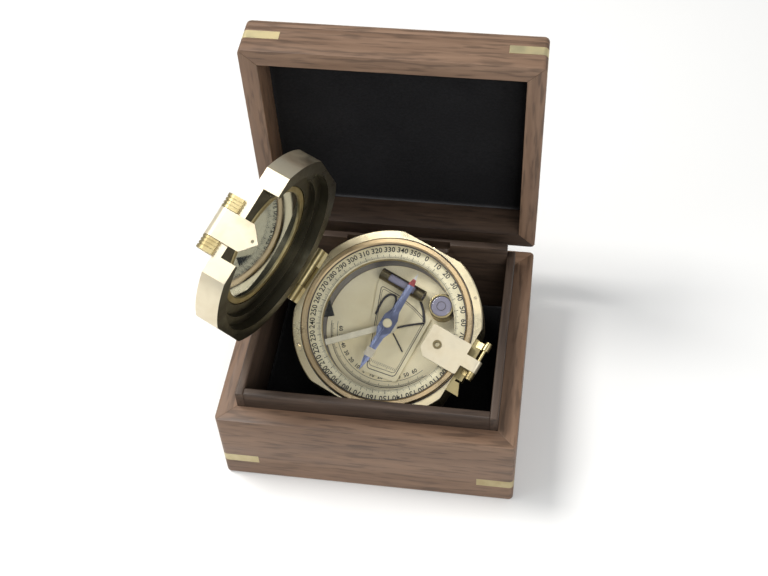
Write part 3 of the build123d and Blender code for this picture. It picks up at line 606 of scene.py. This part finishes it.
def numerals(name, entries, matrix, height, size, body, look):
    """Numbers laid flat on a seat, joined in one mesh: (text, x, y, turn)."""
    work = bmesh.new()
    for text, x, y, turn in entries:
        curve = bpy.data.curves.new("numeral", "FONT")
        curve.body = text
        curve.size = size
        curve.align_x = "CENTER"
        curve.align_y = "CENTER"
        curve.resolution_u = 2
        curve.offset = NUMERAL_WEIGHT
        thing = bpy.data.objects.new("numeral", curve)
        bpy.context.collection.objects.link(thing)
        mesh = evaluated_mesh(thing)
        place = matrix @ Matrix.Translation((x, y, height)) @ Matrix.Rotation(turn, 4, "Z")
        mesh.transform(place)
        mesh.materials.clear()
        work.from_mesh(mesh)
        bpy.data.objects.remove(thing)
        bpy.data.meshes.remove(mesh)
    return add_work(name, work, body, look, smooth=False)


# ---------------------------------------------------------------------------
# Case
# ---------------------------------------------------------------------------
CASE_BOARDS = {
    "case_base": (
        "base_front_board",
        "base_back_board",
        "base_left_board",
        "base_right_board",
        "liner_front_board",
        "liner_back_board",
        "liner_left_board",
        "liner_right_board",
    ),
    "case_lid": (
        "lid_front_board",
        "lid_back_board",
        "lid_left_board",
        "lid_right_board",
        "lid_top_board",
    ),
}


def make_case():
    for body, boards in CASE_BOARDS.items():
        for board in boards:
            eased(board, body, NODE_LOOKS[board])


EDGE_ROLL = 1.1
RIPPLE = 0.12
CUSHION_COLUMNS = 34
CUSHION_ROWS = 28
FLOOR_CROWN = 1.6
LINING_CROWN = 0.5


def cushion(name, low, high, matrix, body, crown, node):
    """A thin velvet covered pad: crowned face, rolled edges."""
    columns, rows = CUSHION_COLUMNS, CUSHION_ROWS
    work = bmesh.new()
    grid = {}
    for side in (0, 1):
        for i in range(columns + 1):
            for j in range(rows + 1):
                u, v = i / columns, j / rows
                x = low[0] + (high[0] - low[0]) * u
                y = low[1] + (high[1] - low[1]) * v
                edge = min(u, 1 - u) * (high[0] - low[0])
                edge = min(edge, min(v, 1 - v) * (high[1] - low[1]))
                roll = 1 - math.exp(-edge / EDGE_ROLL)
                z = high[2] - crown * (1 - roll) if side else low[2]
                if side:
                    z -= RIPPLE * (1 + math.sin(x * 0.31) * math.cos(y * 0.27)) * roll
                grid[side, i, j] = work.verts.new(matrix @ Vector((x, y, z)))
    for i in range(columns):
        for j in range(rows):
            for side in (0, 1):
                corners = ((i, j), (i + 1, j), (i + 1, j + 1), (i, j + 1))
                ring = [grid[side, *corner] for corner in corners]
                work.faces.new(ring if side else ring[::-1])
    border = [(i, 0) for i in range(columns)] + [(columns, j) for j in range(rows)]
    border += [(i, rows) for i in range(columns, 0, -1)] + [(0, j) for j in range(rows, 0, -1)]
    for first, second in zip(border, border[1:] + border[:1]):
        work.faces.new([grid[0, *first], grid[0, *second], grid[1, *second], grid[1, *first]])
    bmesh.ops.recalc_face_normals(work, faces=work.faces)
    piece = add_work(name, work, body, "velvet")
    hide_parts(node)


def make_velvet():
    low, high = ([c / MM for c in corner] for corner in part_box("floor_pad"))
    cushion("floor_velvet", low, high, ROW, "case_base", FLOOR_CROWN, "floor_pad")
    inverse = LID.inverted()
    corners = [inverse @ vertex.co for vertex in NODES["lid_lining"].data.vertices]
    low = [min(c[k] for c in corners) for k in range(3)]
    high = [max(c[k] for c in corners) for k in range(3)]
    flip = LID @ Matrix.Scale(-1, 4, (0, 0, 1))
    low[2], high[2] = -high[2], -low[2]
    cushion("lid_velvet", low, high, flip, "case_lid", LINING_CROWN, "lid_lining")


# ---------------------------------------------------------------------------
# Compass graduations
# ---------------------------------------------------------------------------
INK_LIFT = 0.03
DIAL_TOP = -13.6
PLATE_TOP = -12.6
MARK_FOOT = 29.1
RING_LINE_R = 29.35
RING_MARKS = ((10, 30.9, 0.24), (5, 30.5, 0.18), (1, 30.1, 0.12))
RING_NUMERAL_R = 32.7
RING_NUMERAL_SIZE = 3.3
DIAL_ARCS = ((26.4, 0.20), (23.6, 0.18))
DIAL_MARK_R = 26.4
DIAL_SPAN = 68
DIAL_NUMERAL_R = 22.0
DIAL_NUMERAL_SIZE = 2.4


def make_ring_marks():
    height = RING_TOP + INK_LIFT
    marks = []
    for degree in range(360):
        reach, width = next(mark[1:] for mark in RING_MARKS if degree % mark[0] == 0)
        marks.append(radial_mark(math.radians(degree), MARK_FOOT, reach, width))
    marks += arc_band(0, math.tau, RING_LINE_R, 0.08, 180)
    flat_marks("ring_graduations", marks, BENCH, height, "azimuth_ring", "ink")
    entries = []
    for degree in range(0, 360, 10):
        angle = math.radians(90 - degree)
        x, y = math.cos(angle) * RING_NUMERAL_R, math.sin(angle) * RING_NUMERAL_R
        entries.append((str(degree), x, y, angle - math.pi / 2))
    size = RING_NUMERAL_SIZE
    numerals("ring_numerals", entries, BENCH, height, size, "azimuth_ring", "ink")


def make_dial_marks():
    height = DIAL_TOP + INK_LIFT
    marks = []
    south = math.radians(-90)
    half = math.radians(DIAL_SPAN)
    for radius, width in DIAL_ARCS:
        marks += arc_band(south - half, south + half, radius, width, 90)
    for degree in range(-65, 66):
        inner = 24.7 if degree % 10 == 0 else 25.4
        marks.append(radial_mark(south + math.radians(degree), inner, DIAL_MARK_R, 0.16))
    flat_marks("dial_scale", marks, BENCH, height, "compass", "ink")
    entries = []
    for degree in range(-60, 61, 10):
        angle = south + math.radians(degree)
        x, y = math.cos(angle) * DIAL_NUMERAL_R, math.sin(angle) * DIAL_NUMERAL_R
        entries.append((str(abs(degree)), x, y, angle + math.pi / 2))
    size = DIAL_NUMERAL_SIZE
    numerals("dial_numerals", entries, BENCH, height, size, "compass", "ink")


# ---------------------------------------------------------------------------
# Compass details
# ---------------------------------------------------------------------------
BEZEL_R = 37.0
BEZEL_LIP_R = 34.3
FLANGE_TOP = -1.0
CRYSTAL_TOP = -0.5
WELL_R = 28.6
WELL_TOP = -6.1
NEEDLE_MIDDLE = -4.7
ROUND_LEVEL = (15.7, 18.4)
ROUND_LEVEL_TOP = -6.4
PLATE_BORDER = ((4.6, 12.8), (11.9, 10.5), (13.0, -17.7), (0.4, -20.2), (-13.4, 14.3), (-4.2, 14.3))
SHADOW_LINE = 0.45
WALL_STEPS = 128
WALL_LIFT = 0.06
NEEDLE_HALF_WIDTHS = (
    (-23.4, 0.05),
    (-18.0, 1.3),
    (-6.5, 1.9),
    (-3.0, 3.3),
    (3.0, 3.3),
    (6.5, 1.9),
    (20.0, 1.4),
    (25.2, 0.05),
)
NEEDLE_RIDGE = 0.42
NEEDLE_KEEL = 0.22
NEEDLE_SOUTH = -23.4
RED_BAND_START = 19.4
WHITE_TIP_START = 22.4
NEEDLE_NORTH = 25.2
SPRING_Z = PLATE_TOP + 0.6
STOP_CORNERS = ((-28.3, -3.2), (-22.6, -8.4), (-26.2, -11.2))
STOP_FOOT = -6.95
STOP_TOP = -6.12


def ring_face(inner, outer, steps=160):
    """A flat ring as quads round an assembly's axis."""
    return arc_band(0, math.tau, (inner + outer) / 2, outer - inner, steps)


def line_band(points, width, closed=True):
    """A drawn line of even width through points, as quads."""
    ends = list(points[1:]) + ([points[0]] if closed else [])
    quads = []
    for (x0, y0), (x1, y1) in zip(points, ends):
        length = math.hypot(x1 - x0, y1 - y0)
        side = (-(y1 - y0) / length * width / 2, (x1 - x0) / length * width / 2)
        quads.append(
            [
                (x0 + side[0], y0 + side[1]),
                (x0 - side[0], y0 - side[1]),
                (x1 - side[0], y1 - side[1]),
                (x1 + side[0], y1 + side[1]),
            ]
        )
    return quads


def rounded(points, radius, steps=5):
    """The same closed outline with its corners rounded."""
    smooth = []
    count = len(points)
    for index, corner in enumerate(points):
        corner = Vector(corner)
        before = Vector(points[index - 1]) - corner
        after = Vector(points[(index + 1) % count]) - corner
        start = corner + before.normalized() * radius
        end = corner + after.normalized() * radius
        for step in range(steps + 1):
            t = step / steps
            place = start * (1 - t) ** 2 + corner * 2 * t * (1 - t) + end * t**2
            smooth.append((place.x, place.y))
    return smooth


def shrunk(points, scale):
    """An outline drawn smaller about its middle."""
    middle = sum((Vector(p) for p in points), Vector((0, 0))) / len(points)
    return [tuple(middle + (Vector(p) - middle) * scale) for p in points]


def make_bezel_lines():
    # Painted shade: thin near-black rings on either side of the bezel stand in for the shade in the
    # narrow gaps beside it.
    for name, inner, outer, height in (
        ("bezel_outer_shadow_line", BEZEL_R, BEZEL_R + SHADOW_LINE, FLANGE_TOP),
        ("bezel_inner_shadow_line", BEZEL_LIP_R - SHADOW_LINE, BEZEL_LIP_R, CRYSTAL_TOP),
    ):
        marks = ring_face(inner, outer)
        flat_marks(name, marks, BENCH, height + INK_LIFT, "compass", "dark_line_and_shade")


def make_well_wall():
    """A bluish-grey sheet just inside the well's wall, between the ring and the dial: painted shade and
    painted reflection of the glass.
    """
    work = bmesh.new()
    steps = WALL_STEPS
    radius = WELL_R - WALL_LIFT
    rows = []
    for height in (DIAL_TOP + 0.02, WELL_TOP):
        row = []
        for step in range(steps):
            angle = math.tau * step / steps
            place = Vector((math.cos(angle) * radius, math.sin(angle) * radius, height))
            row.append(work.verts.new(BENCH @ place))
        rows.append(row)
    for step in range(steps):
        following = (step + 1) % steps
        work.faces.new([rows[0][following], rows[0][step], rows[1][step], rows[1][following]])
    add_work("well_wall", work, "compass", "well_shade")


def make_plate_border():
    """The two lines engraved round the clinometer plate, and its short scale."""
    outline = rounded(PLATE_BORDER, 1.6)
    marks = line_band(outline, 0.34)
    marks += line_band(shrunk(outline, 0.93), 0.2)
    for step in range(15):
        x = -0.4 + step * 0.85
        y = -16.0 + step * 0.12
        length = 1.9 if step % 5 == 0 else 1.2
        marks += line_band([(x, y), (x + 0.05, y - length)], 0.18, False)
    height = PLATE_TOP + INK_LIFT
    flat_marks("plate_border", marks, BENCH, height, "clinometer", "dark_line_and_shade")


def blade(name, start, end, look):
    """One stretch of the needle: a ridged lozenge between two places along it."""

    def half_width(y):
        for (y0, w0), (y1, w1) in zip(NEEDLE_HALF_WIDTHS, NEEDLE_HALF_WIDTHS[1:]):
            if y0 <= y <= y1:
                return w0 + (w1 - w0) * (y - y0) / (y1 - y0)

    stations = [start] + [y for y, _ in NEEDLE_HALF_WIDTHS if start < y < end] + [end]
    work = bmesh.new()
    rings = []
    for y in stations:
        width = half_width(y)
        ring = []
        for x, z in ((-width, 0), (0, NEEDLE_RIDGE), (width, 0), (0, -NEEDLE_KEEL)):
            ring.append(work.verts.new(BENCH @ Vector((x, y, NEEDLE_MIDDLE + z))))
        rings.append(ring)
    for first, second in zip(rings, rings[1:]):
        for k in range(4):
            work.faces.new([first[k], first[(k + 1) % 4], second[(k + 1) % 4], second[k]])
    work.faces.new(rings[0][::-1])
    work.faces.new(rings[-1])
    bmesh.ops.recalc_face_normals(work, faces=work.faces)
    return add_work(name, work, "needle", look, smooth=False)


def make_needle():
    piece = blade("needle_ridged_blade", NEEDLE_SOUTH, RED_BAND_START, "needle")
    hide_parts("needle_blade")
    blade("needle_red_band", RED_BAND_START, WHITE_TIP_START, "red")
    blade("needle_white_tip", WHITE_TIP_START, NEEDLE_NORTH, "white")


def spring(name, points, radius):
    """A dark round wire over the clinometer plate, with closed ends."""
    curve = bpy.data.curves.new(name, "CURVE")
    curve.dimensions = "3D"
    curve.bevel_depth = radius * MM
    curve.bevel_resolution = 3
    curve.use_fill_caps = True
    spline = curve.splines.new("NURBS")
    spline.points.add(len(points) - 1)
    for point, (x, y) in zip(spline.points, points):
        point.co = (*(BENCH @ Vector((x, y, SPRING_Z))), 1)
    spline.order_u = 3
    spline.use_endpoint_u = True
    thing = bpy.data.objects.new(name, curve)
    bpy.context.collection.objects.link(thing)
    mesh = evaluated_mesh(thing)
    bpy.data.objects.remove(thing)
    mesh.materials.clear()
    add_mesh(name, mesh, "clinometer", "dark_line_and_shade")


def make_springs():
    """The dark springs and stays that hold the level and the clinometer."""
    arch = [
        (-8.6, 2.0),
        (-9.6, 8.0),
        (-8.4, 12.6),
        (-5.4, 13.6),
        (-3.6, 11.0),
        (-2.4, 5.0),
        (-1.6, 2.4),
    ]
    spring("arch_spring", arch, 0.5)
    spring("level_stay", [(5.5, 16.6), (9.0, 14.0), (11.6, 9.6)], 0.55)
    spring("long_stay", [(2.4, 1.0), (7.0, 5.6), (12.0, 9.0)], 0.42)
    spring("short_stay", [(2.6, -1.6), (6.0, -3.6), (10.4, -6.6)], 0.32)


def make_stop_block():
    """A black three-cornered stop under the ring, clear of the long level; its black also paints the
    shadow in the dark gap between the inner steps of the well.
    """
    work = bmesh.new()
    low = [work.verts.new(BENCH @ Vector((x, y, STOP_FOOT))) for x, y in STOP_CORNERS]
    high = [work.verts.new(BENCH @ Vector((x, y, STOP_TOP))) for x, y in STOP_CORNERS]
    work.faces.new(low)
    work.faces.new(high)
    for k in range(3):
        work.faces.new([low[k], low[(k + 1) % 3], high[(k + 1) % 3], high[k]])
    bmesh.ops.recalc_face_normals(work, faces=work.faces)
    add_work("stop_block_painted_shadow", work, "compass", "black_stop_and_shadow", smooth=False)


def make_level_marks():
    """The circle engraved on the round level's glass."""
    marks = arc_band(0, math.tau, 1.9, 0.22, 40, ROUND_LEVEL)
    height = ROUND_LEVEL_TOP + 0.06
    flat_marks("round_level_circle", marks, BENCH, height, "compass", "dark_line_and_shade")


# ---------------------------------------------------------------------------
# Cover details
# ---------------------------------------------------------------------------
BLACKING_LIFT = 0.04
CORNER_ANGLE = 0.5


def make_cover_blacking():
    """The dark coat on the cover's turned inside: its inner faces, lifted a little."""
    inverse = COVER_AXIS.inverted()
    turn = inverse.to_3x3()
    work = bmesh.new()
    work.from_mesh(NODES["cover_shell"].data)
    outside = []
    for face in work.faces:
        centre = inverse @ face.calc_center_median()
        normal = (turn @ face.normal).normalized()
        radial = Vector((centre.x, centre.y, 0)).normalized()
        inward = normal.dot(radial) < -0.3
        toward = normal.z < -0.5
        if not (inward or toward):
            outside.append(face)
    bmesh.ops.delete(work, geom=outside, context="FACES")
    folds = [edge for edge in work.edges if len(edge.link_faces) == 2]
    corners = [edge for edge in folds if edge.calc_face_angle() > CORNER_ANGLE]
    bmesh.ops.split_edges(work, edges=corners)
    work.normal_update()
    for vertex in work.verts:
        vertex.co += vertex.normal * BLACKING_LIFT * MM
    add_work("cover_blacking", work, "compass_cover", "cover_dark", smooth=False)


for name, node in NODES.items():
    dress(node, NODE_LOOKS.get(name, "polished"))

make_camera()
make_lights()
make_floor()
make_case()
make_velvet()
make_ring_marks()
make_dial_marks()
make_bezel_lines()
make_well_wall()
make_plate_border()
make_needle()
make_springs()
make_stop_block()
make_level_marks()
make_cover_blacking()
